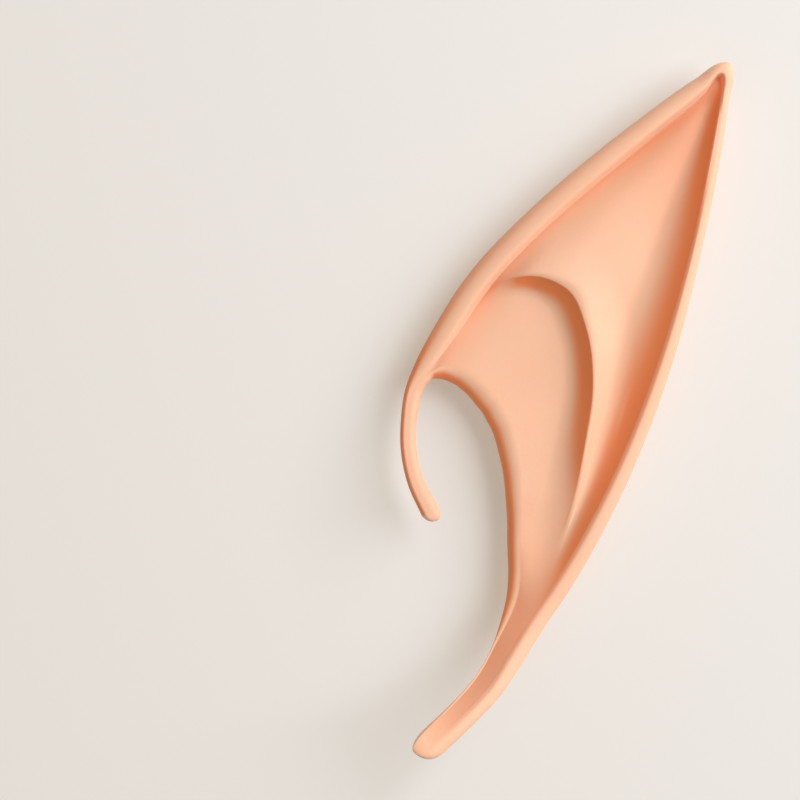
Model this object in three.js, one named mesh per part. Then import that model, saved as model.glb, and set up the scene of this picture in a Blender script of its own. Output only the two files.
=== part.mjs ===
import * as THREE from 'three';

// An elf ear tip: one casting of soft latex that slips over the top of the wearer's own ear.
// It lies face up on its rounded back: +Y towards the point, +X towards the back rim, +Z up.
// The casting is one closed wall. Its sections run round the ear from the hook's end, up the
// front rim, round the point and down the back rim to the tail's end.

// Driving sizes, in millimetres
const earLength = 120.5; // from the tail's end to the point
const earWidth = 58.5; // from the hook to the back rim at the point
const rimHeight = 9.6; // crest of the front rim above the surface that the ear lies on
const skin = 1.2; // thickness of the latex wall
const rimWidth = 4.8; // the rolled rim, seen from above
const rimStep = 1.9; // the rim's crest above the face just inside it
const rimSide = 2; // from the rim's crest down to its widest place
const pointRadius = 1.3; // rounding of the point
const pointCorner = 3.8; // from the point's end to the corner of the face inside it
const grooveDepth = 5; // the long groove beside the back rim, below the rim's inner edge
const grooveWall = 6.2; // width of the slope from the groove up to the back rim
const fullWidth = 20; // the face is this wide before the groove has its full depth
const fieldRise = 1.8; // the outer field swells this far above the front rim's inner edge
const swellWidth = 8; // width over which it does so
const bowlDip = 0.1; // the bowl's floor below the lip
const bowlEase = 6; // width over which the bowl's floor runs into the front rim
const lipHeight = 7.4; // crest of the lip round the C-shaped edge, above the surface
const lipRoll = 3; // width of the lip's roll
const lipDrop = 1.25; // height of the lip's roll
const lipEase = 7; // width over which the bowl's floor runs into the lip
const ridgeHeight = 10.2; // crest of the curved ridge above the surface
const ridgeWall = 4.8; // width of the ridge's steep side, towards the bowl
const ridgeCrest = 0.5; // width of the ridge's crest
const ridgeFlank = 8; // width of the ridge's gentle side, towards the groove
const backRound = 11; // width over which the back wall curves in under the rim
const backSag = 0.7; // how much of the soft back is pressed flat where it rests
const pocketEnd = 0.3; // the pocket's height where it runs out between the walls
const mouthSetback = 1.2; // the back wall's edge stands this far behind the lip's edge
const lineStep = 2; // spacing of the places at which a line in the plan is known
const hookThickness = 2.8;
const tailWidth = 5.4;
const tailThickness = 3;
const tailGutter = 1.8; // the tail's inner edge stands this far below its bead

// Proportions that are not lengths
const lipTuck = THREE.MathUtils.degToRad(10); // the lip's roll turns this far under
const pocketReach = 0.82; // how far the pocket runs from the lip towards the rim
const pocketTaper = 6; // power with which the pocket narrows to its end
const hookBead = 0.35; // share of the hook's width between its side and its crest
const tailBead = 0.5; // the same for the tail
const stripCorner = 0.7; // a strip's inner corner, as a share of half its width
const gutterStart = 0.3; // share of the gutter's depth right beside the tail's bead
const cornerRound = 0.3; // rounding of the face's corner at the point, as a share of the point's
const pointFan = { from: 0.4, to: 0.6 }; // the point's sections leave the lip between these
const fieldFall = { from: 0.15, to: 0.85 }; // the outer field falls between these shares of its width
const narrowWall = 0.3; // the groove's wall where the face is narrow, as a share of its width
const wallFoot = 0.4; // share of the groove wall's width over which it leaves the groove
const ridgeBow = 1.8; // power with which the ridge's steep side climbs to its crest
const edgePull = 4; // power with which the face is drawn to the lip and to the rim at its edges
const rimCrest = { strip: 0.35, shell: 0.42 }; // place of the crest across the rim
const crestSearch = { from: 0.1, to: 0.85, halvings: 12, onStrip: 0.6 };
const wallShares = { least: 0.02, most: 0.15 }; // the ridge's steep side, as a share of a section
const spacing = { face: 0.8, back: 1.7 }; // powers that crowd the points towards the rim
const sectionStep = earLength / 38; // spacing of the wall sections round the ear
const facePoints = { bowl: 4, wall: 3, outside: 6 };
const pocketPoints = { bowl: 3, wall: 2, outside: 3 };
const ringPoints = { lip: 4, rim: 6, back: 9, edge: 2, cap: 4 };

// Places are shares of the ear's width and length, from its lower left corner. A strip is a
// slim solid stretch: its middle, its width and gutter as shares of their own sizes, its crest
// as a share of the rim's height.
const hookStrips = [
  { middle: [0.088, 0.345], wide: 1.2, crest: 1.08, gutter: 0 },
  { middle: [0.046, 0.386], wide: 1.05, crest: 1, gutter: 0 },
  { middle: [0.024, 0.435], wide: 1, crest: 0.9, gutter: 0 },
  { middle: [0.025, 0.479], wide: 1, crest: 0.82, gutter: 0 },
  { middle: [0.039, 0.518], wide: 1.1, crest: 0.79, gutter: 0 },
];
const tailStrips = [
  { middle: [0.317, 0.137], wide: 1.1, crest: 1.36, gutter: 1 },
  { middle: [0.259, 0.095], wide: 1, crest: 1.6, gutter: 1 },
  { middle: [0.186, 0.059], wide: 0.95, crest: 1.84, gutter: 0.8 },
  { middle: [0.093, 0.02], wide: 0.95, crest: 2.1, gutter: 0.25 },
];

// A section of the shell: outer and inner edge; the rim's width, crest and step and the lip's
// roll as shares of their own sizes; rise lifts the lip towards the rim; back and hollow say
// how far the back wall and the pocket are formed.
const formed = { rise: 0, back: 1, hollow: 1 };
const frontSections = [
  { outer: [0.042, 0.558], inner: [0.09, 0.534], rim: 0.58, crest: 0.8, step: 0.3,
    roll: 0.35, rise: 0.6, back: 0.25, hollow: 0 },
  { outer: [0.099, 0.611], inner: [0.117, 0.537], rim: 0.86, crest: 0.86, step: 0.9,
    roll: 0.75, rise: 0.2, back: 0.6, hollow: 0.5 },
  { outer: [0.189, 0.68], inner: [0.15, 0.532], rim: 0.94, crest: 0.9, step: 1.45,
    roll: 0.95, rise: 0, back: 0.9, hollow: 0.9 },
  { outer: [0.256, 0.72], inner: [0.167, 0.528], rim: 0.93, crest: 0.93, step: 0.95,
    roll: 1, rise: 0, back: 0.96, hollow: 0.96 },
  { outer: [0.326, 0.755], inner: [0.183, 0.522], rim: 0.92, crest: 0.96, step: 0.85,
    roll: 1.05, rise: 0, back: 1, hollow: 1 },
  { outer: [0.716, 0.916], inner: [0.234, 0.495], rim: 0.85, crest: 1, step: 1.1,
    roll: 1.1, ...formed },
  { outer: [0.886, 0.975], inner: [0.249, 0.486], rim: 0.66, crest: 1, step: 0.9,
    roll: 1.1, ...formed },
];
const pointSection = { count: 4, crest: 1, step: 0.8, ...formed };
const backSections = [
  { outer: [0.988, 0.943], inner: [0.26, 0.476], rim: 0.38, crest: 1.03, step: 0.3,
    roll: 1.1, ...formed },
  { outer: [0.895, 0.708], inner: [0.281, 0.455], rim: 0.45, crest: 1.15, step: 0.3,
    roll: 1.1, ...formed },
  { outer: [0.826, 0.577], inner: [0.293, 0.435], rim: 0.54, crest: 1.17, step: 0.3,
    roll: 1.05, ...formed },
  { outer: [0.641, 0.345], inner: [0.317, 0.367], rim: 0.62, crest: 1.08, step: 0.3,
    roll: 0.9, rise: -0.1, back: 1, hollow: 1 },
  { outer: [0.521, 0.239], inner: [0.323, 0.304], rim: 0.64, crest: 1.05, step: 0.3,
    roll: 0.75, rise: -0.2, back: 0.7, hollow: 0.8 },
  { outer: [0.42, 0.168], inner: [0.317, 0.213], rim: 0.62, crest: 1.16, step: 0.3,
    roll: 0.6, rise: 0.2, back: 0.3, hollow: 0.2 },
];

// The curved ridge, from outside the front rim, round the bowl and down along the trough:
// its height, the widths of its wall and flank and the groove's depth, as shares of their sizes.
const ridgeSections = [
  { at: [0.207, 0.653], height: 0.64, wall: 0.5, flank: 0.6, groove: 0.6 },
  { at: [0.299, 0.679], height: 0.79, wall: 0.6, flank: 0.7, groove: 0.6 },
  { at: [0.416, 0.686], height: 0.96, wall: 0.8, flank: 1, groove: 0.65 },
  { at: [0.503, 0.666], height: 1, wall: 1, flank: 1, groove: 0.7 },
  { at: [0.557, 0.609], height: 1, wall: 1, flank: 1, groove: 0.85 },
  { at: [0.576, 0.529], height: 1, wall: 1, flank: 0.8, groove: 1 },
  { at: [0.554, 0.447], height: 0.96, wall: 1.1, flank: 0.6, groove: 1 },
  { at: [0.503, 0.333], height: 0.84, wall: 1.15, flank: 0.4, groove: 1 },
  { at: [0.44, 0.261], height: 0.5, wall: 1.1, flank: 0.4, groove: 0.95 },
  { at: [0.356, 0.181], height: 0.45, wall: 1, flank: 0.4, groove: 0.8 },
  { at: [0.266, 0.118], height: 0.45, wall: 1, flank: 0.5, groove: 0.5 },
];

// Small helpers for numbers and for places in the plan

const mix = (a, b, share) => a + (b - a) * share;
const clamp = THREE.MathUtils.clamp;
const smooth = (from, to, value) => THREE.MathUtils.smoothstep(value, from, to);
const place = ([across, along]) => new THREE.Vector2((across - 0.5) * earWidth, (along - 0.5) * earLength);
const between = (a, b, share) => a.clone().lerp(b, share);

// Left of the way that a runs to b, which is outwards all round the ear
const leftOf = (a, b) => new THREE.Vector2(a.y - b.y, b.x - a.x).normalize();

// A quarter round: 0 at the edge, upright there, and 1 from the full width inwards
const quarter = (distance, width) => Math.sqrt(1 - (1 - clamp(distance / width, 0, 1)) ** 2);

// The rows of all wall sections, in order round the ear

function stripRows(strips, { thickness, width, bead }) {
  const middles = strips.map((strip) => place(strip.middle));
  return strips.map((strip, i) => {
    const outward = leftOf(middles[Math.max(i - 1, 0)], middles[Math.min(i + 1, strips.length - 1)]);
    const half = (width * strip.wide) / 2;
    const from = (share) => middles[i].clone().addScaledVector(outward, half * share);
    const crestZ = rimHeight * strip.crest;
    const gutter = tailGutter * strip.gutter;
    return {
      outer: from(1), crease: from(1 - 2 * bead), lip: from(-stripCorner), inner: from(-1),
      crestZ, step: gutter * gutterStart, lipZ: crestZ - gutter, thickness, back: 0, hollow: 0,
    };
  });
}

function shellRow(section, places, thickness) {
  const crestZ = rimHeight * section.crest;
  const lipZ = mix(lipHeight, crestZ, section.rise);
  const { back, hollow } = section;
  return { ...places, crestZ, step: rimStep * section.step, lipZ, thickness, back, hollow };
}

function shellRows(sections, before, after, thickness) {
  const outers = [before.outer, ...sections.map((s) => place(s.outer)), after.outer];
  const inners = [before.inner, ...sections.map((s) => place(s.inner)), after.inner];
  return sections.map((section, i) => {
    const outward = leftOf(outers[i], outers[i + 2]);
    const towardsFace = leftOf(inners[i], inners[i + 2]);
    const outer = outers[i + 1];
    const inner = inners[i + 1];
    const crease = outer.clone().addScaledVector(outward, -rimWidth * section.rim);
    const lip = inner.clone().addScaledVector(towardsFace, lipRoll * section.roll);
    return shellRow(section, { outer, crease, lip, inner }, thickness);
  });
}

// The point is an arc that touches the ear's box at its top and its right
function pointRows(before, after) {
  const centre = place([1, 1]).subScalar(pointRadius);
  const fromAngle = leftOf(before.outer, centre).angle();
  const turned = (fromAngle - leftOf(centre, after.outer).angle() + 2 * Math.PI) % (2 * Math.PI);
  const axis = centre.clone().sub(between(before.inner, after.inner, 0.5)).normalize();
  const corner = centre.clone().addScaledVector(axis, pointRadius - pointCorner);
  return Array.from({ length: pointSection.count }, (_, k) => {
    const share = k / (pointSection.count - 1);
    const turn = new THREE.Vector2(pointRadius, 0);
    turn.rotateAround(new THREE.Vector2(), fromAngle - turned * share);
    const outer = centre.clone().add(turn);
    const crease = corner.clone().addScaledVector(turn, cornerRound);
    const fan = mix(pointFan.from, pointFan.to, share);
    const lip = between(before.lip, after.lip, fan);
    const inner = between(before.inner, after.inner, fan);
    return shellRow(pointSection, { outer, crease, lip, inner }, tailThickness);
  });
}

const hook = { thickness: hookThickness, width: hookThickness, bead: hookBead };
const tail = { thickness: tailThickness, width: tailWidth, bead: tailBead };
const hookRows = stripRows(hookStrips, hook);
const tailRows = stripRows(tailStrips, tail);
const topOfGap = between(place(frontSections.at(-1).inner), place(backSections[0].inner), 0.5);
const pointPlace = { outer: place([1, 1]), inner: topOfGap };
const frontRows = shellRows(frontSections, hookRows.at(-1), pointPlace, hookThickness);
const backRows = shellRows(backSections, pointPlace, tailRows[0], tailThickness);
const middleRows = pointRows(frontRows.at(-1), backRows[0]);
const rows = [...hookRows, ...frontRows, ...middleRows, ...backRows, ...tailRows];

// Smooth curves through rows. Every quantity uses the same knots, so all stay in step.

function makeCurve(knots, values) {
  const slopes = values.map((value, i) => {
    const before = Math.max(i - 1, 0);
    const after = Math.min(i + 1, values.length - 1);
    const left = knots[i] - knots[before];
    const right = knots[after] - knots[i];
    const leftSlope = left ? (value - values[before]) / left : 0;
    const rightSlope = right ? (values[after] - value) / right : 0;
    if (!left || !right) return leftSlope + rightSlope;
    return (leftSlope * right + rightSlope * left) / (left + right);
  });
  return (t) => {
    let i = knots.findIndex((knot) => knot > t) - 1;
    if (i < 0) i = t >= knots.at(-1) ? knots.length - 2 : 0;
    const width = knots[i + 1] - knots[i];
    const s = (t - knots[i]) / width;
    const rise = values[i + 1] - values[i];
    const a = width * slopes[i] - rise;
    const b = rise - width * slopes[i + 1];
    return values[i] + rise * s + s * (1 - s) * (a * (1 - s) + b * s);
  };
}

function makeKnots(points) {
  const knots = [0];
  for (let i = 1; i < points.length; i += 1) knots.push(knots[i - 1] + points[i].distanceTo(points[i - 1]));
  return knots;
}

const knots = makeKnots(rows.map((row) => row.outer));
const curves = {};
for (const name of ['crestZ', 'step', 'lipZ', 'thickness', 'back', 'hollow']) {
  curves[name] = makeCurve(knots, rows.map((row) => row[name]));
}
for (const name of ['outer', 'crease', 'lip', 'inner']) {
  const x = makeCurve(knots, rows.map((row) => row[name].x));
  const y = makeCurve(knots, rows.map((row) => row[name].y));
  curves[name] = (t) => new THREE.Vector2(x(t), y(t));
}

// Lines in the plan, and the nearest place on one: its distance, height and side

function stationsBetween(from, to) {
  const count = Math.ceil((to - from) / lineStep);
  return Array.from({ length: count + 1 }, (_, i) => mix(from, to, i / count));
}

function lineFromCurve(name, from, to, height) {
  const stations = stationsBetween(from, to);
  return { points: stations.map(curves[name]), heights: stations.map(height) };
}

function nearest(line, p) {
  let best = { distance: Infinity };
  for (let i = 0; i + 1 < line.points.length; i += 1) {
    const a = line.points[i];
    const b = line.points[i + 1];
    const wayX = b.x - a.x;
    const wayY = b.y - a.y;
    const share = clamp(((p.x - a.x) * wayX + (p.y - a.y) * wayY) / (wayX * wayX + wayY * wayY), 0, 1);
    const offX = p.x - a.x - wayX * share;
    const offY = p.y - a.y - wayY * share;
    const distance = Math.hypot(offX, offY);
    if (distance < best.distance) {
      const height = mix(line.heights[i], line.heights[i + 1], share);
      best = { distance, height, side: Math.sign(wayX * offY - wayY * offX) };
    }
  }
  return best;
}

const rootKnot = knots[hookRows.length - 1];
const firstOfPoint = hookRows.length + frontRows.length;
const pointKnot = mix(knots[firstOfPoint], knots[firstOfPoint + pointSection.count - 1], 0.5);
const creaseHeight = (t) => curves.crestZ(t) - curves.step(t);
const frontCrease = lineFromCurve('crease', rootKnot, pointKnot, creaseHeight);
const backCrease = lineFromCurve('crease', pointKnot, knots.at(-1), creaseHeight);
const frontOutline = lineFromCurve('outer', rootKnot, pointKnot, curves.crestZ);
const backOutline = lineFromCurve('outer', pointKnot, knots.at(-1), curves.crestZ);
const lipLine = lineFromCurve('lip', rootKnot, knots.at(-1), curves.lipZ);

const ridgePoints = ridgeSections.map((section) => place(section.at));
const ridgeKnots = makeKnots(ridgePoints);
const ridge = {};
for (const name of ['height', 'wall', 'flank', 'groove']) {
  ridge[name] = makeCurve(ridgeKnots, ridgeSections.map((section) => section[name]));
}
const ridgeX = makeCurve(ridgeKnots, ridgePoints.map((point) => point.x));
const ridgeY = makeCurve(ridgeKnots, ridgePoints.map((point) => point.y));
const ridgeStations = stationsBetween(0, ridgeKnots.at(-1));
const ridgePlan = ridgeStations.map((t) => new THREE.Vector2(ridgeX(t), ridgeY(t)));
const ridgeLine = { points: ridgePlan, heights: ridgeStations };

// Height of the shell's face: the outer field swells a little from the front rim and falls to
// the groove beside the back rim, the bowl lies inside the ridge, and the groove's wall climbs
// to the back rim
function faceHeight(p) {
  const front = nearest(frontCrease, p);
  const back = nearest(backCrease, p);
  const lip = nearest(lipLine, p);
  const ridgeSpot = nearest(ridgeLine, p);
  const t = ridgeSpot.height;
  const width = front.distance + back.distance;
  const grown = smooth(0, fullWidth, width);
  const fromFront = width > 0 ? front.distance / width : 0.5;
  const unswollen = Math.max(0, 1 - front.distance / swellWidth) ** 2;
  const swell = fieldRise * smooth(0, swellWidth, width) * (1 - unswollen);
  const deepest = back.height - grooveDepth * ridge.groove(t);
  const groove = mix(Math.min(front.height, back.height), deepest, grown);
  const field = mix(front.height + swell, groove, smooth(fieldFall.from, fieldFall.to, fromFront));
  const nearFront = Math.max(0, 1 - front.distance / bowlEase) ** 2;
  const nearLip = Math.max(0, 1 - lip.distance / lipEase) ** 2;
  const bowlFloor = mix(lip.height - bowlDip * (1 - nearLip), front.height, nearFront);
  const outside = ridgeSpot.distance * ridgeSpot.side;
  const flank = clamp((outside - ridgeCrest) / (ridgeFlank * ridge.flank(t)), 0, 1);
  const crest = Math.max(field, ridgeHeight * ridge.height(t));
  const ridged = mix(field, crest, (1 - flank) ** 2);
  const climb = clamp(1 + outside / (ridgeWall * ridge.wall(t)), 0, 1);
  const height = mix(bowlFloor, ridged, climb ** ridgeBow);
  const slope = Math.max(0, 1 - back.distance / (grooveWall * mix(narrowWall, 1, grown)));
  return { height: mix(height, back.height, slope * smooth(0, wallFoot, slope)), outside };
}

// One wall section: a closed ring of points round the latex, from the lip's edge over the
// face and the rim, along the back, into the pocket and out again under the lip

function ringAt(t) {
  const at = {};
  for (const name of Object.keys(curves)) at[name] = curves[name](t);
  at.back = clamp(at.back, 0, 1);
  at.hollow = clamp(at.hollow, 0, 1);
  const { outer, crease, lip, inner, crestZ, lipZ, thickness, back, hollow } = at;
  const creaseZ = crestZ - at.step;
  const sideZ = crestZ - mix(thickness / 2, rimSide, back);
  const bottomZ = mix(crestZ - thickness, -backSag, back);
  const rollAcross = lip.distanceTo(inner);
  const rollDown = mix((lipZ - bottomZ) / 2, lipDrop, hollow);
  const edgeZ = lipZ - rollDown;
  const towardsGap = inner.clone().sub(lip).normalize();

  const upper = (p, share) => {
    const plain = mix(lipZ, creaseZ, share);
    return mix(plain, faceHeight(p).height, hollow);
  };
  const startError = lipZ - upper(lip, 0);
  const endError = creaseZ - upper(crease, 1);
  const topZ = (p, share) => upper(p, share)
    + startError * (1 - share) ** edgePull + endError * share ** edgePull;

  // The back: a quarter round in from both outlines, and in from the inner edge on a strip
  const lowerZ = (p) => {
    const curveIn = mix(thickness / 2, backRound, back);
    const stripOuter = quarter(p.distanceTo(outer), curveIn);
    const shellOuter = quarter(nearest(frontOutline, p).distance, curveIn)
      * quarter(nearest(backOutline, p).distance, curveIn);
    const stripInner = quarter(p.distanceTo(inner), rollDown);
    const depth = sideZ - bottomZ;
    const innerShare = 1 - (1 - stripInner) * (1 - (sideZ - edgeZ) / depth) * (1 - hollow);
    return Math.max(0, sideZ - depth * mix(stripOuter, shellOuter, back) * innerShare);
  };

  const ring = [];
  const add = (p, z) => ring.push(new THREE.Vector3(p.x, p.y, z));

  // Over the lip's roll, from its tucked edge to its crest
  for (let i = 0; i < ringPoints.lip; i += 1) {
    const angle = mix(-lipTuck, Math.PI / 2, i / ringPoints.lip);
    const p = lip.clone().addScaledVector(towardsGap, rollAcross * Math.cos(angle));
    add(p, edgeZ + rollDown * Math.sin(angle));
  }

  // Over the face, with more points on the ridge's wall
  const crossing = mix(crestSearch.onStrip, ridgeCrossing(lip, crease), hollow);
  const faceWidth = lip.distanceTo(crease);
  const wallShare = clamp(ridgeWall / faceWidth, wallShares.least, wallShares.most);
  spreadShares(crossing, wallShare, 1, facePoints).forEach((share) => {
    const p = between(lip, crease, share);
    add(p, topZ(p, share));
  });

  // Over the rim's bead to its widest place: up to its crest, then down its side
  const crestAt = mix(rimCrest.strip, rimCrest.shell, back);
  for (let i = 1; i <= ringPoints.rim; i += 1) {
    const share = i / ringPoints.rim;
    if (share < crestAt) {
      const angle = (share / crestAt) * (Math.PI / 2);
      add(between(crease, outer, share), creaseZ + at.step * Math.sin(angle));
    } else {
      const angle = ((share - crestAt) / (1 - crestAt)) * (Math.PI / 2);
      const p = between(crease, outer, mix(crestAt, 1, Math.sin(angle)));
      add(p, mix(sideZ, crestZ, Math.cos(angle)));
    }
  }

  // Along the back to the pocket's mouth
  const mouth = inner.clone().addScaledVector(towardsGap, -mix(rollDown / 2, mouthSetback, hollow));
  for (let i = 1; i <= ringPoints.back; i += 1) {
    const share = (i / ringPoints.back) ** spacing.back;
    const p = between(outer, mouth, share);
    add(p, lowerZ(p));
  }

  // The pocket: round the back wall's edge, in along its floor, out along its ceiling
  const closedFrom = ring.at(-1).clone();
  const closedTo = ring[0].clone();
  const pocket = [];
  const put = (p, z) => pocket.push(new THREE.Vector3(p.x, p.y, z));
  const roundEnd = (centre, centreZ, outX, outZ, upX, upZ) => {
    for (let i = 1; i <= ringPoints.edge; i += 1) {
      const angle = mix(-Math.PI / 2, Math.PI / 2, i / (ringPoints.edge + 1));
      const across = (outX * Math.cos(angle) + upX * Math.sin(angle)) * (skin / 2);
      const up = (outZ * Math.cos(angle) + upZ * Math.sin(angle)) * (skin / 2);
      put(centre.clone().addScaledVector(towardsGap, across), centreZ + up);
    }
  };
  roundEnd(mouth, lowerZ(mouth) + skin / 2, 1, 0, 0, 1);
  const floorZ = (p) => lowerZ(p) + skin;
  put(mouth, floorZ(mouth));
  const ceiling = [];
  const pocketCrossing = Math.min(crossing, pocketReach - wallShare);
  spreadShares(pocketCrossing, wallShare, pocketReach, pocketPoints).forEach((share) => {
    const p = between(lip, crease, share);
    const low = floorZ(p);
    const high = Math.max(topZ(p, share) - skin, low + pocketEnd);
    const narrowing = Math.sqrt(1 - (share / pocketReach) ** pocketTaper);
    const middle = (low + high) / 2;
    const half = Math.max(pocketEnd / 2, ((high - low) / 2) * narrowing);
    put(p, middle - half);
    ceiling.push([p, middle + half]);
  });
  ceiling.reverse().forEach(([p, z]) => put(p, z));
  for (let i = 1; i <= ringPoints.lip; i += 1) {
    const angle = mix(Math.PI / 2, -lipTuck, i / ringPoints.lip);
    const p = lip.clone().addScaledVector(towardsGap, (rollAcross - skin) * Math.cos(angle));
    put(p, edgeZ + (lipDrop - skin) * Math.sin(angle));
  }
  const sin = Math.sin(lipTuck);
  const cos = Math.cos(lipTuck);
  const lipMiddle = lip.clone().addScaledVector(towardsGap, (rollAcross - skin / 2) * cos);
  roundEnd(lipMiddle, edgeZ - (lipDrop - skin / 2) * sin, -sin, -cos, cos, -sin);

  // Where there is no pocket its points close the side of the strip
  pocket.forEach((point, i) => {
    const closed = closedFrom.clone().lerp(closedTo, (i + 1) / (pocket.length + 1));
    ring.push(closed.lerp(point, hollow));
  });
  return ring;
}

// Share of the way from the lip to the rim at which it crosses the ridge's crest
function ridgeCrossing(lip, crease) {
  let inside = crestSearch.from;
  let outside = crestSearch.to;
  for (let i = 0; i < crestSearch.halvings; i += 1) {
    const middle = (inside + outside) / 2;
    if (faceHeight(between(lip, crease, middle)).outside > 0) outside = middle;
    else inside = middle;
  }
  return outside;
}

// Shares from 0 to the end, closer together on the ridge's steep side
function spreadShares(crossing, wallShare, end, points) {
  const foot = crossing - wallShare;
  const shares = [];
  for (let i = 0; i < points.bowl; i += 1) shares.push((foot * i) / points.bowl);
  for (let i = 0; i < points.wall; i += 1) shares.push(mix(foot, crossing, i / points.wall));
  for (let i = 0; i < points.outside; i += 1) {
    shares.push(mix(crossing, end, (i / points.outside) ** spacing.face));
  }
  shares.push(end);
  return shares;
}

// A rounded end on the first or the last ring

function capRings(ring, neighbour) {
  const sumOf = (points) => points.reduce((sum, p) => sum.add(p), new THREE.Vector3());
  const centre = (points) => sumOf(points).divideScalar(points.length);
  const middle = centre(ring);
  const way = middle.clone().sub(centre(neighbour)).normalize();
  const radius = Math.max(...ring.map((p) => p.distanceTo(middle)));
  const rings = [];
  for (let i = 1; i < ringPoints.cap; i += 1) {
    const angle = (i / ringPoints.cap) * (Math.PI / 2);
    const shift = way.clone().multiplyScalar(radius * Math.sin(angle));
    rings.push(ring.map((p) => middle.clone().lerp(p, Math.cos(angle)).add(shift)));
  }
  return { rings, pole: middle.clone().addScaledVector(way, radius) };
}

// The closed surface from all rings and the two ends

function loftRings(rings, startPole, endPole) {
  const count = rings[0].length;
  const positions = [startPole, ...rings.flat(), endPole].flatMap((p) => [p.x, p.y, p.z]);
  const index = [];
  const id = (ring, i) => 1 + ring * count + (i % count);
  for (let i = 0; i < count; i += 1) {
    index.push(0, id(0, i), id(0, i + 1));
    for (let r = 0; r + 1 < rings.length; r += 1) {
      index.push(id(r, i), id(r + 1, i), id(r + 1, i + 1));
      index.push(id(r, i), id(r + 1, i + 1), id(r, i + 1));
    }
    index.push(id(rings.length - 1, i + 1), id(rings.length - 1, i), 1 + rings.length * count);
  }
  const geometry = new THREE.BufferGeometry();
  geometry.setAttribute('position', new THREE.Float32BufferAttribute(positions, 3));
  geometry.setIndex(index);
  geometry.computeVertexNormals();
  return geometry;
}

function earGeometry() {
  const rings = [];
  for (let i = 0; i + 1 < knots.length; i += 1) {
    const steps = Math.max(1, Math.round((knots[i + 1] - knots[i]) / sectionStep));
    for (let k = 0; k < steps; k += 1) rings.push(ringAt(mix(knots[i], knots[i + 1], k / steps)));
  }
  rings.push(ringAt(knots.at(-1)));
  const start = capRings(rings[0], rings[1]);
  const end = capRings(rings.at(-1), rings.at(-2));
  const whole = [...start.rings.reverse(), ...rings, ...end.rings];
  const geometry = loftRings(whole, start.pole, end.pole);

  // The origin is the bottom centre of the ear's box
  geometry.computeBoundingBox();
  const { min, max } = geometry.boundingBox;
  return geometry.translate(-(min.x + max.x) / 2, -(min.y + max.y) / 2, -min.z);
}

const latex = new THREE.MeshStandardMaterial({ color: 0xf0b08f, roughness: 0.62, metalness: 0 });
const earTip = new THREE.Mesh(earGeometry(), latex);
earTip.name = 'ear_tip';

const ear = new THREE.Group();
ear.add(earTip);

export default ear;
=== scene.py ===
import bpy
import numpy as np
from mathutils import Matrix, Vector


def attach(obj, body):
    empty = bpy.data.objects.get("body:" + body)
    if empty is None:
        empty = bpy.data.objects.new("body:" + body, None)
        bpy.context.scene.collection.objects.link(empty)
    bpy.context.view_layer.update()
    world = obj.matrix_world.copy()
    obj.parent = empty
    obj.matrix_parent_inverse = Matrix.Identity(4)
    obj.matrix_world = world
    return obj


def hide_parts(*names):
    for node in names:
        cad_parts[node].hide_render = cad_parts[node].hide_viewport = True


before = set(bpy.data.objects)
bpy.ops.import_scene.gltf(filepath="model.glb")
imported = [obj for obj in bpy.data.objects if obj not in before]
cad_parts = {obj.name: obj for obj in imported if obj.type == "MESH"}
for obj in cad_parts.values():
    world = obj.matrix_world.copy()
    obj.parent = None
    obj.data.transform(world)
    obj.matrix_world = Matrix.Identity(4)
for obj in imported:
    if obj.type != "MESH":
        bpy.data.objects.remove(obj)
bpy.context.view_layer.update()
mm = 0.001  # lengths below are in millimetres, and the scene is in metres

# The ear tip. It is one closed wall of latex whose sections run round the ear from the
# hook's end, up the front rim, round the point and down the back rim to the tail's end.

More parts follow.
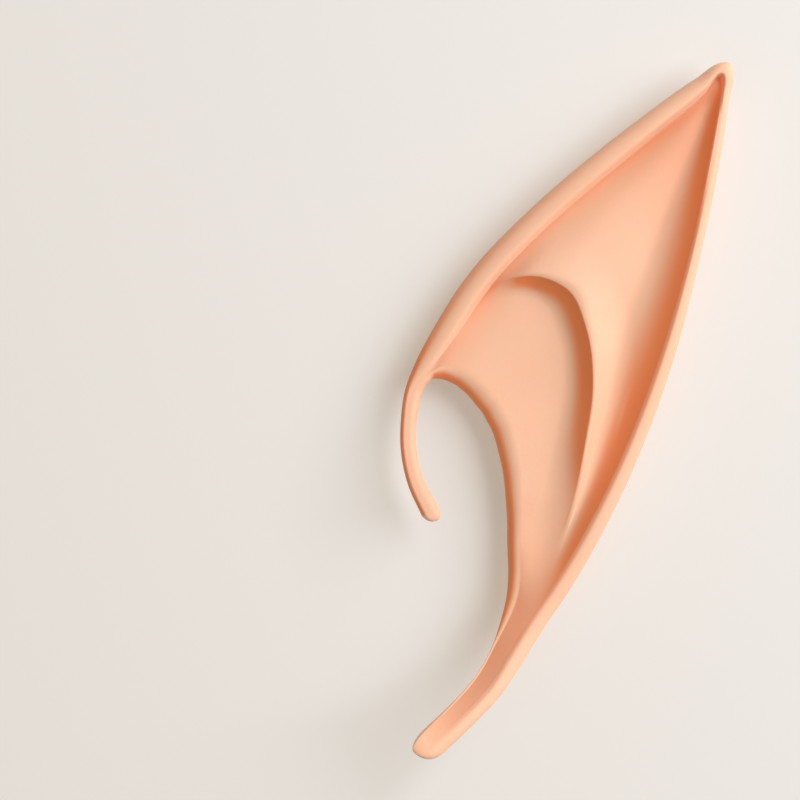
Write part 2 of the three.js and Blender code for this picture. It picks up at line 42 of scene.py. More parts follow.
earTip = {
    "length": 120.5,  # from the tail's end to the point
    "width": 58.5,  # from the hook to the back rim at the point
    "rimHeight": 9.6,  # of the rim's crest above the table
    "skin": 1.2,  # the thickness of the wall
    "rimWidth": 4.8,
    "rimStep": 1.9,  # from the rim's crest down to the crease beside it
    "rimSide": 2.6,  # from the rim's crest down to its widest place
    "stripCrest": 0.35,  # the crest's place across the bead: on the hook and the tail
    "shellCrest": 0.3,  # and on the rim
    "pointRadius": 1.3,
    "pointCorner": 3.8,  # from the point to the face's corner
    "pointFan": (0.4, 0.6),  # the stretch of the lip that the sections round the point end on
    "grooveDepth": 5.0,
    "grooveWall": 10.5,
    "fullWidth": 20.0,
    "fieldRise": 1.8,
    "fieldFall": (0.15, 0.85),  # where, across the face, the outer field sinks to the groove
    "swellWidth": 8.0,
    "bowlEase": 6.0,
    "bowlDip": 0.5,
    "lipHeight": 7.4,
    "lipRoll": 3.0,
    "lipDrop": 2.4,
    "lipEase": 10.0,
    "ridgeHeight": 10.2,
    "ridgeWall": 4.8,
    "ridgeCrest": 0.5,
    "ridgeStart": 3.5,
    "ridgeFlank": 8.0,
    "backRound": 11.0,
    "backSag": 0.7,
    "pocketEnd": 0.3,
    "mouthSetback": 1.2,
    "lineStep": 0.4,  # between the places that the creases and the lip are measured from
    "hookThickness": 2.8,
    "tailWidth": 5.4,
    "tailThickness": 3.0,
    "tailGutter": 2.6,
    "lipTuck": np.radians(10),
    "pocketReach": 0.82,  # as a share of the way from the lip to the rim
    "pocketTaper": 6,
    "hookBead": 0.45,
    "hookCorner": 0.1,
    "tailBead": 0.5,
    "tailCorner": 0.85,
    "gutterStart": 0.3,
    "cornerRound": 0.3,
    "narrowWall": 0.5,
    "shallowWall": 0.4,
    "leastWidth": 1e-6,
    "wallBow": 2,
    "ridgeBow": 1.8,
    "edgePull": 4,
    "ridgeBetween": (0.1, 0.85),  # shares of the face's width between which the ridge is looked for
    "ridgeHalvings": 14,
    "wallShares": (0.02, 0.15),  # the least and the most of the face that the ridge's steep side gets
    "stripCrossing": 0.6,
    "grooveSpread": 0.8,
    "backSpread": 1.7,
    "sections": 380,
    "lipPoints": 10,
    "facePoints": (30, 24, 40),
    "rimPoints": 20,
    "backPoints": 30,
    "pocketPoints": (14, 8, 12),
    "edgePoints": 4,
    "capRings": 8,
}

# How strongly painted shade darkens the creases and the steep sides, which the latex material uses
paintedShade = {
    "wallGain": 3,
    "front": 0.4,
    "frontReach": 3,
    "crease": 0.35,
    "creaseReach": 0.6,
    "narrow": 0.65,
    "narrowWidths": (4, 26),
    "gutter": 0.7,
    "stripRim": 1,
    "shellRim": 0.35,
    "steepness": (0.04, 0.25),
    "awayFromKey": (-0.1, 0.25),
    "keyWay": (0.8, 0.6),
}

# Places are shares of the ear's width and length, from its lower left corner
hookStrips = [
    {"middle": (0.088, 0.345), "wide": 1.2, "crest": 1.08, "gutter": 0},
    {"middle": (0.046, 0.386), "wide": 1.05, "crest": 1, "gutter": 0},
    {"middle": (0.024, 0.435), "wide": 1, "crest": 0.9, "gutter": 0},
    {"middle": (0.025, 0.479), "wide": 1, "crest": 0.82, "gutter": 0},
    {"middle": (0.039, 0.518), "wide": 1.1, "crest": 0.79, "gutter": 0},
]
tailStrips = [
    {"middle": (0.317, 0.137), "wide": 1.1, "crest": 1.36, "gutter": 1},
    {"middle": (0.259, 0.095), "wide": 1, "crest": 1.6, "gutter": 1},
    {"middle": (0.186, 0.059), "wide": 0.95, "crest": 1.84, "gutter": 0.8},
    {"middle": (0.093, 0.02), "wide": 0.95, "crest": 2.1, "gutter": 0.25},
]
formed = {"rise": 0, "back": 1, "hollow": 1}
frontSections = [
    {"outer": (0.042, 0.558), "inner": (0.09, 0.534), "rim": 0.58, "crest": 0.8, "step": 0.05,
     "roll": 0.35, "rise": 0.6, "back": 0.25, "hollow": 0},
    {"outer": (0.099, 0.611), "inner": (0.117, 0.537), "rim": 0.86, "crest": 0.86, "step": 0.6,
     "roll": 0.75, "rise": 0.2, "back": 0.6, "hollow": 0.5},
    {"outer": (0.189, 0.68), "inner": (0.15, 0.532), "rim": 0.94, "crest": 0.9, "step": 1.45,
     "roll": 0.95, "rise": 0, "back": 0.9, "hollow": 0.9},
    {"outer": (0.256, 0.72), "inner": (0.167, 0.528), "rim": 0.93, "crest": 0.93, "step": 0.95,
     "roll": 1, "rise": 0, "back": 0.96, "hollow": 0.96},
    {"outer": (0.326, 0.755), "inner": (0.183, 0.522), "rim": 0.92, "crest": 0.96, "step": 0.85,
     "roll": 1.05, "rise": 0, "back": 1, "hollow": 1},
    {"outer": (0.716, 0.916), "inner": (0.234, 0.495), "rim": 0.85, "crest": 1, "step": 1.1,
     "roll": 1.1, **formed},
    {"outer": (0.886, 0.975), "inner": (0.249, 0.486), "rim": 0.66, "crest": 1, "step": 0.9,
     "roll": 1.1, **formed},
]
pointSection = {"count": 4, "crest": 1, "step": 0.8, **formed}
backSections = [
    {"outer": (0.988, 0.943), "inner": (0.26, 0.476), "rim": 0.38, "crest": 1.03, "step": 0.3,
     "roll": 1.1, **formed},
    {"outer": (0.895, 0.708), "inner": (0.281, 0.455), "rim": 0.45, "crest": 1.15, "step": 0.3,
     "roll": 1.1, **formed},
    {"outer": (0.826, 0.577), "inner": (0.293, 0.435), "rim": 0.54, "crest": 1.17, "step": 0.3,
     "roll": 1.05, **formed},
    {"outer": (0.641, 0.345), "inner": (0.317, 0.367), "rim": 0.62, "crest": 1.08, "step": 0.3,
     "roll": 0.9, "rise": -0.1, "back": 1, "hollow": 1},
    {"outer": (0.521, 0.239), "inner": (0.323, 0.304), "rim": 0.64, "crest": 1.05, "step": 0.3,
     "roll": 0.75, "rise": -0.2, "back": 0.7, "hollow": 0.8},
    {"outer": (0.42, 0.168), "inner": (0.317, 0.213), "rim": 0.62, "crest": 1.16, "step": 0.3,
     "roll": 0.6, "rise": 0.2, "back": 0.3, "hollow": 0.2},
]
ridgeSections = [
    {"at": (0.207, 0.653), "height": 0.64, "wall": 0.5, "flank": 0.6, "groove": 0.6},
    {"at": (0.299, 0.679), "height": 0.79, "wall": 0.6, "flank": 0.7, "groove": 0.6},
    {"at": (0.416, 0.686), "height": 0.96, "wall": 0.8, "flank": 1, "groove": 0.65},
    {"at": (0.503, 0.666), "height": 1, "wall": 1, "flank": 1, "groove": 0.7},
    {"at": (0.557, 0.609), "height": 1, "wall": 1, "flank": 1, "groove": 0.85},
    {"at": (0.576, 0.529), "height": 1, "wall": 1, "flank": 0.8, "groove": 1},
    {"at": (0.554, 0.447), "height": 0.96, "wall": 1.1, "flank": 0.6, "groove": 1},
    {"at": (0.503, 0.333), "height": 0.76, "wall": 1.15, "flank": 0.4, "groove": 0.8},
    {"at": (0.44, 0.261), "height": 0.68, "wall": 1.1, "flank": 0.4, "groove": 0.55},
    {"at": (0.356, 0.181), "height": 0.64, "wall": 1, "flank": 0.4, "groove": 0.5},
    {"at": (0.266, 0.118), "height": 0.6, "wall": 1, "flank": 0.5, "groove": 0.4},
]


def mix(a, b, share):
    return a + (b - a) * share


def smooth(low, high, value):  # 0 below low, 1 above high, and level at both
    s = np.clip((value - low) / (high - low), 0, 1)
    return s * s * (3 - 2 * s)


def quarter(distance, width):  # a quarter round: 0 and upright at the edge, 1 from the full width in
    return np.sqrt(1 - (1 - np.clip(distance / width, 0, 1)) ** 2)


def place(share):  # a share of the width and length, as a place in millimetres from the middle
    return (np.array(share) - 0.5) * (earTip["width"], earTip["length"])


def unit(way):
    return way / np.linalg.norm(way, axis=-1, keepdims=True)


def leftOf(a, b):  # outwards, all round the ear
    return unit(np.array((a[1] - b[1], b[0] - a[0])))


def stripRows(strips, thickness, width, bead, corner):
    # Rows of a solid strip: it lies half its width to each side of its middle, its bead takes a
    # share of the width on the outer side, and its gutter lies a little lower than its crest
    middles = [place(strip["middle"]) for strip in strips]
    rows = []
    for i, strip in enumerate(strips):
        outward = leftOf(middles[max(i - 1, 0)], middles[min(i + 1, len(strips) - 1)])
        half = outward * width * strip["wide"] / 2
        crest = earTip["rimHeight"] * strip["crest"]
        gutter = earTip["tailGutter"] * strip["gutter"]
        rows.append({
            "outer": middles[i] + half, "crease": middles[i] + half * (1 - 2 * bead),
            "lip": middles[i] - half * corner, "inner": middles[i] - half,
            "crestZ": crest, "step": gutter * earTip["gutterStart"], "lipZ": crest - gutter,
            "thickness": thickness, "back": 0, "hollow": 0})
    return rows


def shellRow(section, outer, crease, lip, inner, thickness):  # heights are shares of the named sizes
    crest = earTip["rimHeight"] * section["crest"]
    return {
        "outer": outer, "crease": crease, "lip": lip, "inner": inner, "crestZ": crest,
        "step": earTip["rimStep"] * section["step"],
        "lipZ": mix(earTip["lipHeight"], crest, section["rise"]),
        "thickness": thickness, "back": section["back"], "hollow": section["hollow"]}


def shellRows(sections, before, after, thickness):
    # The crease lies the rim's width in from the outline, and the lip the roll's width out from the gap
    outers = [before["outer"]] + [place(s["outer"]) for s in sections] + [after["outer"]]
    inners = [before["inner"]] + [place(s["inner"]) for s in sections] + [after["inner"]]
    rows = []
    for i, section in enumerate(sections):
        crease = outers[i + 1] - leftOf(outers[i], outers[i + 2]) * earTip["rimWidth"] * section["rim"]
        lip = inners[i + 1] + leftOf(inners[i], inners[i + 2]) * earTip["lipRoll"] * section["roll"]
        rows.append(shellRow(section, outers[i + 1], crease, lip, inners[i + 1], thickness))
    return rows


def pointRows(before, after):  # an arc that touches the ear's box at its top and its right
    radius = earTip["pointRadius"]
    centre = place((1, 1)) - radius
    start = leftOf(before["outer"], centre)
    end = leftOf(centre, after["outer"])
    startAngle = np.arctan2(start[1], start[0])
    turned = (startAngle - np.arctan2(end[1], end[0])) % (2 * np.pi)
    axis = unit(centre - (before["inner"] + after["inner"]) / 2)
    corner = centre + axis * (radius - earTip["pointCorner"])
    rows = []
    for share in np.linspace(0, 1, pointSection["count"]):
        angle = startAngle - turned * share
        turn = radius * np.array((np.cos(angle), np.sin(angle)))
        fan = mix(*earTip["pointFan"], share)
        rows.append(shellRow(
            pointSection, centre + turn, corner + turn * earTip["cornerRound"],
            mix(before["lip"], after["lip"], fan), mix(before["inner"], after["inner"], fan),
            earTip["tailThickness"]))
    return rows


def makeCurve(knots, values):  # cubics through the rows, with a parabola's slope at each
    knots = np.asarray(knots, float)
    values = np.asarray(values, float).reshape(len(knots), -1)
    width = np.diff(knots)[:, None]
    chord = np.diff(values, axis=0) / width
    inside = (chord[:-1] * width[1:] + chord[1:] * width[:-1]) / (width[1:] + width[:-1])
    slope = np.vstack((chord[:1], inside, chord[-1:]))

    def curve(t):
        i = np.clip(np.searchsorted(knots, t, side="right") - 1, 0, len(knots) - 2)
        s = ((t - knots[i]) / width[i, 0])[:, None]
        rise = values[i + 1] - values[i]
        a = width[i] * slope[i] - rise
        b = rise - width[i] * slope[i + 1]
        return values[i] + rise * s + s * (1 - s) * (a * (1 - s) + b * s)

    return curve


def makeKnots(points):
    steps = np.linalg.norm(np.diff(np.array(points), axis=0), axis=1)
    return np.concatenate(([0], np.cumsum(steps)))


hookRows = stripRows(
    hookStrips, earTip["hookThickness"], earTip["hookThickness"], earTip["hookBead"], earTip["hookCorner"])
tailRows = stripRows(
    tailStrips, earTip["tailThickness"], earTip["tailWidth"], earTip["tailBead"], earTip["tailCorner"])
topOfGap = (place(frontSections[-1]["inner"]) + place(backSections[0]["inner"])) / 2
pointPlace = {"outer": place((1, 1)), "inner": topOfGap}
frontRows = shellRows(frontSections, hookRows[-1], pointPlace, earTip["hookThickness"])
backRows = shellRows(backSections, pointPlace, tailRows[0], earTip["tailThickness"])
rows = hookRows + frontRows + pointRows(frontRows[-1], backRows[0]) + backRows + tailRows
knots = makeKnots([row["outer"] for row in rows])
curves = {name: makeCurve(knots, [row[name] for row in rows]) for name in rows[0]}


def lineFromCurve(name, start, end, height):  # a line in plan with the height at each of its places
    t = np.linspace(start, end, int((end - start) / earTip["lineStep"]) + 2)
    return {"points": curves[name](t), "heights": height(t)}


def nearest(line, p):  # distance, height and side of the nearest place on a line, for all points
    shape = p.shape[:-1]
    p = p.reshape(-1, 2)
    distance = np.full(len(p), np.inf)
    height = np.zeros(len(p))
    side = np.zeros(len(p))
    points, heights = line["points"], line["heights"]
    for i in range(len(points) - 1):
        way = points[i + 1] - points[i]
        offset = p - points[i]
        share = np.clip(offset @ way / (way @ way), 0, 1)
        offset = offset - share[:, None] * way
        length = np.hypot(offset[:, 0], offset[:, 1])
        closer = length < distance
        distance = np.where(closer, length, distance)
        height = np.where(closer, mix(heights[i], heights[i + 1], share), height)
        side = np.where(closer, np.sign(way[0] * offset[:, 1] - way[1] * offset[:, 0]), side)
    return distance.reshape(shape), height.reshape(shape), side.reshape(shape)


def creaseHeight(t):
    return (curves["crestZ"](t) - curves["step"](t))[:, 0]


rootKnot = knots[len(hookRows) - 1]
firstOfPoint = len(hookRows) + len(frontRows)
pointKnot = (knots[firstOfPoint] + knots[firstOfPoint + pointSection["count"] - 1]) / 2
frontCrease = lineFromCurve("crease", rootKnot, pointKnot, creaseHeight)
backCrease = lineFromCurve("crease", pointKnot, knots[-1], creaseHeight)
frontOutline = lineFromCurve("outer", rootKnot, pointKnot, creaseHeight)
backOutline = lineFromCurve("outer", pointKnot, knots[-1], creaseHeight)
lipLine = lineFromCurve("lip", rootKnot, knots[-1], lambda t: curves["lipZ"](t)[:, 0])

ridgePlaces = [place(section["at"]) for section in ridgeSections]
ridgeKnots = makeKnots(ridgePlaces)
ridgePlan = makeCurve(ridgeKnots, ridgePlaces)
ridgeNames = ("height", "wall", "flank", "groove")
ridgeForm = {name: makeCurve(ridgeKnots, [s[name] for s in ridgeSections]) for name in ridgeNames}
ridgeStations = np.linspace(0, ridgeKnots[-1], int(ridgeKnots[-1]) + 2)
ridgeLine = {"points": ridgePlan(ridgeStations), "heights": ridgeStations}


def faceHeight(p):
    # The outer field rises a little from the front rim's crease and runs to the groove beside
    # the back rim, the bowl lies inside the ridge, and the groove's wall climbs to the back rim
    front, frontZ, _ = nearest(frontCrease, p)
    back, backZ, _ = nearest(backCrease, p)
    lip, lipZ, _ = nearest(lipLine, p)
    fromRidge, station, side = nearest(ridgeLine, p)
    form = {name: ridgeForm[name](station.ravel())[:, 0].reshape(station.shape) for name in ridgeForm}
    width = front + back
    grown = smooth(0, earTip["fullWidth"], width)
    fromFront = front / np.maximum(width, earTip["leastWidth"])
    unswollen = np.maximum(0, 1 - front / earTip["swellWidth"]) ** 2
    swell = earTip["fieldRise"] * smooth(0, earTip["swellWidth"], width) * (1 - unswollen)
    groove = mix(np.minimum(frontZ, backZ), backZ - earTip["grooveDepth"] * form["groove"], grown)
    field = mix(frontZ + swell, groove, smooth(*earTip["fieldFall"], fromFront))
    nearFront = np.maximum(0, 1 - front / earTip["bowlEase"]) ** 2
    nearLip = np.maximum(0, 1 - lip / earTip["lipEase"]) ** 2
    bowl = mix(lipZ - earTip["bowlDip"] * (1 - nearLip), frontZ, nearFront)
    outside = fromRidge * side
    flank = (outside - earTip["ridgeCrest"]) / (earTip["ridgeFlank"] * form["flank"])
    onCrest = (1 - np.clip(flank, 0, 1)) ** 2
    fullCrest = np.maximum(field, earTip["ridgeHeight"] * form["height"])
    crest = mix(field, fullCrest, smooth(0, earTip["ridgeStart"], front))
    ridged = mix(field, crest, onCrest)
    climb = np.clip(1 + outside / (earTip["ridgeWall"] * form["wall"]), 0, 1)
    height = mix(bowl, ridged, climb ** earTip["ridgeBow"])
    drop = np.clip((backZ - height) / earTip["grooveDepth"], earTip["shallowWall"], 1)
    slope = np.maximum(0, 1 - back / (earTip["grooveWall"] * drop * mix(earTip["narrowWall"], 1, grown)))
    # Painted shade: steep walls facing away from the key light are marked for a darker, redder tone
    wallShadeMask = np.clip(paintedShade["wallGain"] * np.maximum(np.where(outside < 0, climb, 0), slope), 0, 1)
    # Painted shade beside the front rim, in its crease and in narrow places where the walls close in
    shadeBesideRim = paintedShade["front"] * np.exp(-front / paintedShade["frontReach"])
    shadeInCrease = paintedShade["crease"] * np.exp(-front / paintedShade["creaseReach"])
    paintedCreaseShade = shadeBesideRim + shadeInCrease + paintedShade["narrow"] * (1 - smooth(*paintedShade["narrowWidths"], width))
    # Besides the height and the side of the ridge, this returns the painted shade masks for steep sides and
    # creases
    return mix(height, backZ, slope ** earTip["wallBow"]), outside, wallShadeMask, paintedCreaseShade


def ridgeCrossing(lip, crease):  # share of the way from the lip to the rim where the ridge is met
    inside, outside = (np.full(len(lip), share) for share in earTip["ridgeBetween"])
    for _ in range(earTip["ridgeHalvings"]):
        middle = (inside + outside) / 2
        beyond = faceHeight(mix(lip, crease, middle[:, None]))[1] > 0
        outside = np.where(beyond, middle, outside)
        inside = np.where(beyond, inside, middle)
    return outside


def spreadShares(crossing, wallShare, end, counts):  # closer together on the ridge's steep side
    bowlCount, wallCount, outCount = counts
    foot = (crossing - wallShare)[:, None]
    crossing = crossing[:, None]
    return np.hstack((
        foot * np.arange(bowlCount) / bowlCount,
        mix(foot, crossing, np.arange(wallCount) / wallCount),
        mix(crossing, end, (np.arange(outCount) / outCount) ** earTip["grooveSpread"]),
        np.full((len(foot), 1), end)))


def wallSections(t):
    # Each row of the grid is one closed ring round the wall at t: the lip's roll, the face, the
    # rim's bead, the back, the back wall's edge, the pocket's floor and ceiling, the lip's end
    at = {name: curve(t) for name, curve in curves.items()}
    crestZ, step, lipZ, thickness = (at[name] for name in ("crestZ", "step", "lipZ", "thickness"))
    back = np.clip(at["back"], 0, 1)
    hollow = np.clip(at["hollow"], 0, 1)
    outer, crease, lip, inner = (at[name][:, None, :] for name in ("outer", "crease", "lip", "inner"))
    creaseZ = crestZ - step
    sideZ = crestZ - mix(thickness / 2, earTip["rimSide"], back)
    bottomZ = mix(crestZ - thickness, -earTip["backSag"], back)
    rollAcross = np.linalg.norm(at["lip"] - at["inner"], axis=1)[:, None]
    rollDown = mix((lipZ - bottomZ) / 2, earTip["lipDrop"], hollow)
    edgeZ = lipZ - rollDown
    towardsGap = unit(inner - lip)

    def along(way, amount):
        return way * amount[..., None]

    def upper(p, share):  # a plain slope on the strips, the face's relief on the shell
        plain = mix(lipZ, creaseZ, share)
        return mix(plain, faceHeight(p)[0], hollow)

    startError = lipZ - upper(lip, np.zeros_like(lipZ))
    endError = creaseZ - upper(crease, np.ones_like(lipZ))

    def topZ(p, share):  # the upper surface, drawn to meet the lip and the crease exactly
        pull = earTip["edgePull"]
        return upper(p, share) + startError * (1 - share) ** pull + endError * share ** pull

    def lowerZ(p):  # the back: quarter rounds from the outline and the gap down to the flat bottom
        curveIn = mix(thickness / 2, earTip["backRound"], back)
        stripOuter = quarter(np.linalg.norm(p - outer, axis=2), curveIn)
        shellFront = quarter(nearest(frontOutline, p)[0], curveIn)
        shellBack = quarter(nearest(backOutline, p)[0], curveIn)
        stripInner = quarter(np.linalg.norm(p - inner, axis=2), rollDown)
        depth = sideZ - bottomZ
        innerShare = 1 - (1 - stripInner) * (1 - (sideZ - edgeZ) / depth) * (1 - hollow)
        return np.maximum(0, sideZ - depth * mix(stripOuter, shellFront * shellBack, back) * innerShare)

    blocks = []

    def add(p, z, onto):
        z = np.broadcast_to(z, p.shape[:2])
        onto.append(np.concatenate((p, z[..., None]), axis=2))

    # Over the lip's roll
    lipPoints = earTip["lipPoints"]
    angle = mix(-earTip["lipTuck"], np.pi / 2, np.arange(lipPoints) / lipPoints)[None]
    add(lip + along(towardsGap, rollAcross * np.cos(angle)), edgeZ + rollDown * np.sin(angle), blocks)

    # Over the face
    crossing = mix(earTip["stripCrossing"], ridgeCrossing(at["lip"], at["crease"]), hollow[:, 0])
    faceWidth = np.linalg.norm(at["lip"] - at["crease"], axis=1)
    wallShare = np.clip(earTip["ridgeWall"] / faceWidth, *earTip["wallShares"])
    share = spreadShares(crossing, wallShare, 1, earTip["facePoints"])
    p = mix(lip, crease, share[..., None])
    add(p, topZ(p, share), blocks)
    # Painted shade for the face: on steep sides, in creases and narrow places, and in the tail's gutter
    wallShadeMask, paintedCreaseShade = faceHeight(p)[2:]
    # Painted shade in the tail's gutter
    shadeInGutter = paintedShade["gutter"] * np.clip(step / (earTip["tailGutter"] * earTip["gutterStart"]), 0, 1)
    faceShades = np.stack((mix(1, wallShadeMask, hollow), mix(shadeInGutter, paintedCreaseShade, hollow ** 2)), axis=-1)
    rimHalf = earTip["rimPoints"] // 2
    # Painted shade on the sides of the rim's bead that turn away from the key light
    rimShadeMask = np.repeat(mix(paintedShade["stripRim"], paintedShade["shellRim"], hollow), 2 * rimHalf, axis=1)
    faceShades = np.hstack((faceShades, np.stack((rimShadeMask, np.zeros_like(rimShadeMask)), axis=-1)))

    # Over the rim's bead: up to its crest, then down its side
    crestAt = mix(earTip["stripCrest"], earTip["shellCrest"], back)
    half = np.arange(1, rimHalf + 1) / rimHalf
    angle = half[None] * np.pi / 2
    up = crestAt * half[None]
    down = mix(crestAt, 1, np.sin(angle))
    add(mix(crease, outer, up[..., None]), creaseZ + step * np.sin(angle), blocks)
    add(mix(crease, outer, down[..., None]), mix(sideZ, crestZ, np.cos(angle)), blocks)

    # Along the back to the pocket's mouth
    setback = mix(rollDown / 2, earTip["mouthSetback"], hollow)
    mouth = inner - along(towardsGap, setback)
    share = (np.arange(1, earTip["backPoints"] + 1) / earTip["backPoints"])[None] ** earTip["backSpread"]
    p = mix(outer, mouth, share[..., None])
    add(p, lowerZ(p), blocks)

    # The pocket: round the back wall's edge, in along its floor, out along its ceiling
    closedFrom, closedTo = blocks[-1][:, -1:], blocks[0][:, :1]
    pocket = []
    skin = earTip["skin"]
    edgeShares = np.arange(1, earTip["edgePoints"] + 1) / (earTip["edgePoints"] + 1)
    turns = mix(-np.pi / 2, np.pi / 2, edgeShares)[None]

    def roundEnd(centre, centreZ, out, up):  # half a circle as thick as the wall
        across = (out[0] * np.cos(turns) + up[0] * np.sin(turns)) * skin / 2
        height = (out[1] * np.cos(turns) + up[1] * np.sin(turns)) * skin / 2
        add(centre + along(towardsGap, across), centreZ + height, pocket)

    roundEnd(mouth, lowerZ(mouth) + skin / 2, (1, 0), (0, 1))
    add(mouth, lowerZ(mouth) + skin, pocket)
    reach = earTip["pocketReach"]
    share = spreadShares(np.minimum(crossing, reach - wallShare), wallShare, reach, earTip["pocketPoints"])
    p = mix(lip, crease, share[..., None])
    low = lowerZ(p) + skin
    high = np.maximum(topZ(p, share) - skin, low + earTip["pocketEnd"])
    narrowing = np.sqrt(np.maximum(0, 1 - (share / reach) ** earTip["pocketTaper"]))
    middle = (low + high) / 2
    halfHeight = np.maximum(earTip["pocketEnd"] / 2, (high - low) / 2 * narrowing)
    add(p, middle - halfHeight, pocket)
    add(p[:, ::-1], (middle + halfHeight)[:, ::-1], pocket)
    angle = mix(np.pi / 2, -earTip["lipTuck"], np.arange(1, lipPoints + 1) / lipPoints)[None]
    add(lip + along(towardsGap, (rollAcross - skin) * np.cos(angle)),
        edgeZ + (earTip["lipDrop"] - skin) * np.sin(angle), pocket)
    sin, cos = np.sin(earTip["lipTuck"]), np.cos(earTip["lipTuck"])
    lipMiddle = lip + along(towardsGap, (rollAcross - skin / 2) * cos)
    roundEnd(lipMiddle, edgeZ - (earTip["lipDrop"] - skin / 2) * sin, (-sin, -cos), (cos, -sin))

    # Where there is no pocket its points close the side of the strip
    pocket = np.concatenate(pocket, axis=1)
    closing = (np.arange(1, pocket.shape[1] + 1) / (pocket.shape[1] + 1))[None, :, None]
    blocks.append(mix(mix(closedFrom, closedTo, closing), pocket, hollow[..., None]))
    return np.concatenate(blocks, axis=1), faceShades


def capRings(ring, neighbour):  # a rounded end: the ring shrinks by a cosine as it moves by a sine
    middle = ring.mean(0)
    way = unit(middle - neighbour.mean(0))
    radius = np.linalg.norm(ring - middle, axis=1).max()
    angle = (np.arange(1, earTip["capRings"]) / earTip["capRings"] * np.pi / 2)[:, None, None]
    return middle + (ring - middle) * np.cos(angle) + way * radius * np.sin(angle), middle + way * radius


def meshFromRings(name, rings, startPole, endPole):
    # Four-sided faces join each ring to the next, and a fan closes each end on its pole
    count = rings.shape[1]
    vertices = np.vstack((startPole, rings.reshape(-1, 3), endPole))
    first = 1 + np.arange(len(rings) - 1)[:, None] * count
    here = np.arange(count)[None]
    there = (here + 1) % count
    quads = np.stack((first + here, first + count + here, first + count + there, first + there), axis=-1)
    here, there = here[0], there[0]
    last = 1 + (len(rings) - 1) * count
    startFan = np.stack((np.zeros(count, int), 1 + here, 1 + there), axis=-1)
    endFan = np.stack((last + there, last + here, np.full(count, len(vertices) - 1)), axis=-1)
    mesh = bpy.data.meshes.new(name)
    faces = quads.reshape(-1, 4).tolist() + startFan.tolist() + endFan.tolist()
    mesh.from_pydata((vertices * mm).tolist(), [], faces)
    mesh.shade_smooth()
    mesh.update()
    piece = bpy.data.objects.new(name, mesh)
    bpy.context.collection.objects.link(piece)
    return piece


def paintShade(ear, faceShades, gridShape, shellRings):
    # Two attributes of painted shade for the latex material: on steep sides turned away from the key light,
    # and in creases
    shades = np.zeros((*gridShape, 2))
    faceStart = earTip["lipPoints"]
    # Painted shade over the lip's roll wherever it turns away from the key light
    shades[shellRings, :faceStart, 0] = 1
    shades[shellRings, faceStart:faceStart + faceShades.shape[1]] = faceShades
    shades = np.concatenate((np.zeros((1, 2)), shades.reshape(-1, 2), np.zeros((1, 2))))
    normals = np.empty(len(shades) * 3, np.float32)
    ear.data.vertices.foreach_get("normal", normals)
    normals = normals.reshape(-1, 3)
    # Painted shade only where the surface is steep and turned away from the key light
    away = -normals[:, 0] * paintedShade["keyWay"][0] - normals[:, 1] * paintedShade["keyWay"][1]
    turned = smooth(*paintedShade["steepness"], 1 - normals[:, 2]) * smooth(*paintedShade["awayFromKey"], away)
    for name, value in {"paintedWallShade": shades[:, 0] * turned, "paintedCreaseShade": shades[:, 1]}.items():
        value = np.clip(value, 0, 1).astype(np.float32)
        ear.data.attributes.new(name, "FLOAT", "POINT").data.foreach_set("value", value)


def makeEar():
    rings, faceShades = wallSections(np.linspace(0, knots[-1], earTip["sections"]))
    startRings, startPole = capRings(rings[0], rings[1])
    endRings, endPole = capRings(rings[-1], rings[-2])
    shellRings = slice(len(startRings), len(startRings) + len(rings))
    rings = np.concatenate((startRings[::-1], rings, endRings))
    points = rings.reshape(-1, 3)
    middleOfBox = (points.min(0) + points.max(0)) / 2
    shift = np.array((-middleOfBox[0], -middleOfBox[1], 0))
    ear = meshFromRings("latex_ear", rings + shift, startPole + shift, endPole + shift)
    paintShade(ear, faceShades, rings.shape[:2], shellRings)
    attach(ear, "root")
    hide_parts("ear_tip")
    return ear


ear = makeEar()
print("ear tip:", len(ear.data.vertices), "points,", len(ear.data.polygons), "faces")


# Materials

class Socket:  # a shader value: + and * on it add Math nodes
    def __init__(self, material, output):
        self.material = material
        self.output = output

    def math(self, operation, other):
        return self.material.node("ShaderNodeMath", {"operation": operation}, {0: self, 1: other})

    def __add__(self, other):
        return self.math("ADD", other)

    def __mul__(self, other):
        return self.math("MULTIPLY", other)

    __radd__ = __add__
    __rmul__ = __mul__


class Material:
    def __init__(self, name):
        self.data = bpy.data.materials.new(name)
        self.data.use_nodes = True
        self.tree = self.data.node_tree
        self.tree.nodes.clear()

    def node(self, kind, settings, inputs, output=0):
        node = self.tree.nodes.new(kind)
        for name, value in settings.items():
            setattr(node, name, value)
        for name, value in inputs.items():
            if isinstance(value, Socket):
                self.tree.links.new(value.output, node.inputs[name])
            else:
                node.inputs[name].default_value = value
        return Socket(self, node.outputs[output]) if node.outputs else None

    def place(self):
        return self.node("ShaderNodeTexCoord", {}, {}, "Object")

    def noise(self, size, detail):
        return self.node("ShaderNodeTexNoise", {}, {"Vector": self.place(), "Scale": size, "Detail": detail})

    def attribute(self, name):
        return self.node("ShaderNodeAttribute", {"attribute_name": name}, {}, "Fac")

    def blend(self, share, first, second):  # sockets 6 and 7 in and 2 out are the colours
        inputs = {0: share, 6: first, 7: second}
        return self.node("ShaderNodeMix", {"data_type": "RGBA"}, inputs, 2)

    def finish(self, surface):
        self.node("ShaderNodeOutputMaterial", {}, {"Surface": surface})
        return self.data


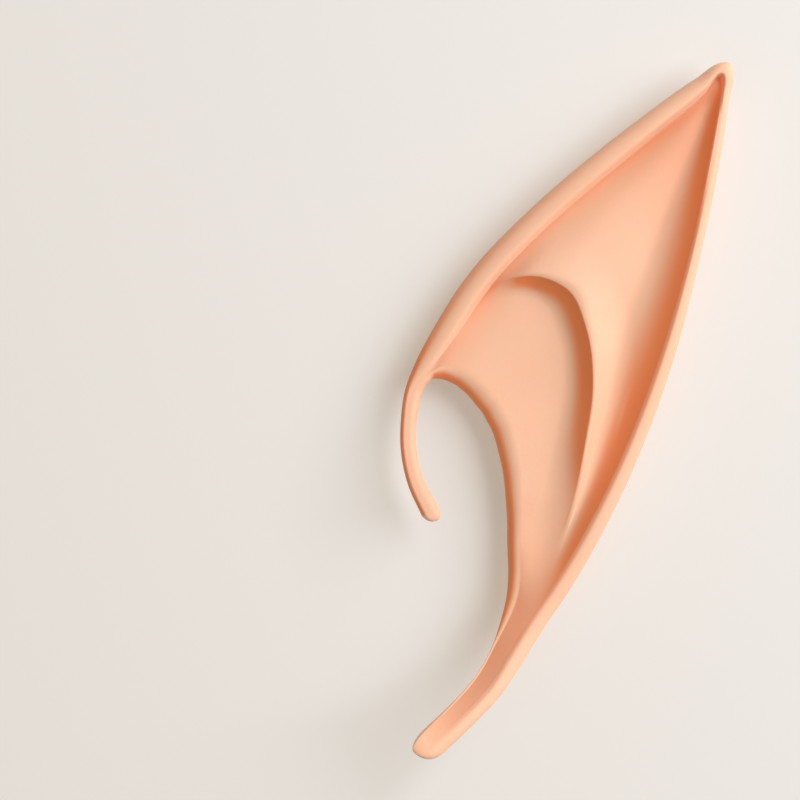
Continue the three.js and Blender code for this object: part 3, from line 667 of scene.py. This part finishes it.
# The latex's own tones, and the painted shade tones for the creases and the steep sides
latexWithPaintedShade = {
    "skinTone": (0.97, 0.53, 0.34, 1),
    "paleTone": (0.98, 0.60, 0.43, 1),
    "paintedCreaseShadeTone": (0.80, 0.33, 0.18, 1),  # painted shade in the creases and narrow places
    "paintedWallShadeTone": (0.98, 0.28, 0.09, 1),  # painted shade on the steep sides turned away from the key light
    "paintedWallShadeShare": 0.9,
    "mottleSize": 60.0,
    "mottleDetail": 3.0,
    "speckSize": 1500.0,
    "speckDetail": 2.0,
    "speckStrength": 0.08,
    "speckDepth": 0.0002,
    "roughness": 0.55,
    "roughnessSpread": 0.08,
    "subsurface": 0.25,
    "subsurfaceRadius": (1.0, 0.35, 0.18),
    "subsurfaceScale": 0.002,
    "refraction": 1.45,
    "shine": 0.35,
}


def makeLatex():
    latex = Material("latex")
    mottle = latex.noise(latexWithPaintedShade["mottleSize"], latexWithPaintedShade["mottleDetail"])
    tone = latex.blend(mottle, latexWithPaintedShade["skinTone"], latexWithPaintedShade["paleTone"])
    # Painted shade: a darker tone in the creases and narrow places
    tone = latex.blend(latex.attribute("paintedCreaseShade"), tone, latexWithPaintedShade["paintedCreaseShadeTone"])
    # Painted shade: a darker, redder tone on steep sides turned away from the key light
    tone = latex.blend(latex.attribute("paintedWallShade") * latexWithPaintedShade["paintedWallShadeShare"], tone, latexWithPaintedShade["paintedWallShadeTone"])
    speck = latex.noise(latexWithPaintedShade["speckSize"], latexWithPaintedShade["speckDetail"])
    bump = latex.node("ShaderNodeBump", {}, {
        "Strength": latexWithPaintedShade["speckStrength"],
        "Distance": latexWithPaintedShade["speckDepth"],
        "Height": speck,
    })
    surface = latex.node("ShaderNodeBsdfPrincipled", {"subsurface_method": "RANDOM_WALK"}, {
        "Base Color": tone,
        "Roughness": latexWithPaintedShade["roughness"] + mottle * latexWithPaintedShade["roughnessSpread"],
        "Normal": bump,
        "Subsurface Weight": latexWithPaintedShade["subsurface"],
        "Subsurface Radius": latexWithPaintedShade["subsurfaceRadius"],
        "Subsurface Scale": latexWithPaintedShade["subsurfaceScale"],
        "IOR": latexWithPaintedShade["refraction"],
        "Specular IOR Level": latexWithPaintedShade["shine"],
    })
    return latex.finish(surface)


ear.data.materials.append(makeLatex())
print("latex finish made")


# Floor, lights and camera

floor = {
    "size": 2.4,
    "tone": (0.555, 0.575, 0.60, 1),
    "shade": (0.535, 0.55, 0.565, 1),
    "shadeShare": 0.2,
    "grainSize": 6.0,
    "grainDetail": 2.0,
    "roughness": 0.7,
    "glow": (0.64, 0.55, 0.44, 1),
    "glowStrength": 0.44,
}


def makeFloor():
    half = floor["size"] / 2
    corners = [(-half, -half, 0), (half, -half, 0), (half, half, 0), (-half, half, 0)]
    mesh = bpy.data.meshes.new("floor")
    mesh.from_pydata(corners, [], [(0, 1, 2, 3)])
    card = Material("card")
    grain = card.noise(floor["grainSize"], floor["grainDetail"])
    surface = card.node("ShaderNodeBsdfPrincipled", {}, {
        "Base Color": card.blend(grain * floor["shadeShare"], floor["tone"], floor["shade"]),
        "Roughness": floor["roughness"],
        "Emission Color": floor["glow"],
        "Emission Strength": floor["glowStrength"],
    })
    mesh.materials.append(card.finish(surface))
    plane = bpy.data.objects.new("floor", mesh)
    bpy.context.collection.objects.link(plane)


studio = {
    "key": {"position": (0.62, 0.29, 0.62), "size": 0.8, "watts": 9.7, "colour": (0.98, 0.985, 1.0)},
    "fill": {"position": (-0.3, -0.2, 0.9), "size": 1.2, "watts": 1.5, "colour": (1.0, 0.92, 0.8)},
    "aim": (0, 0, 0),
    "sky": (1.0, 0.89, 0.76, 1),
    "skyStrength": 0.28,
}


def addLight(name):
    lamp = studio[name]
    data = bpy.data.lights.new(name, "AREA")
    data.shape = "SQUARE"
    data.size = lamp["size"]
    data.energy = lamp["watts"]
    data.color = lamp["colour"]
    light = bpy.data.objects.new(name, data)
    light.location = lamp["position"]
    way = Vector(studio["aim"]) - Vector(lamp["position"])
    light.rotation_euler = way.to_track_quat("-Z", "Y").to_euler()
    bpy.context.collection.objects.link(light)


view = {
    "across": 140.0,  # what the picture shows from side to side, at the rim's height
    "centre": (-29.4, 0.9),
    "distance": 400.0,
    "sensor": 36.0,
    "clipStart": 0.01,
}

makeFloor()
addLight("key")
addLight("fill")
bpy.context.scene.view_settings.view_transform = "Standard"
world = bpy.context.scene.world or bpy.data.worlds.new("studio")
bpy.context.scene.world = world
world.use_nodes = True
background = world.node_tree.nodes["Background"]
background.inputs["Color"].default_value = studio["sky"]
background.inputs["Strength"].default_value = studio["skyStrength"]

cameraData = bpy.data.cameras.new("camera")
cameraData.sensor_width = view["sensor"]
cameraData.lens = view["sensor"] * view["distance"] / view["across"]
cameraData.clip_start = view["clipStart"]
camera = bpy.data.objects.new("camera", cameraData)
camera.location = Vector((*view["centre"], view["distance"] + earTip["rimHeight"])) * mm
bpy.context.collection.objects.link(camera)
bpy.context.scene.camera = camera
print("floor, lights and camera placed")
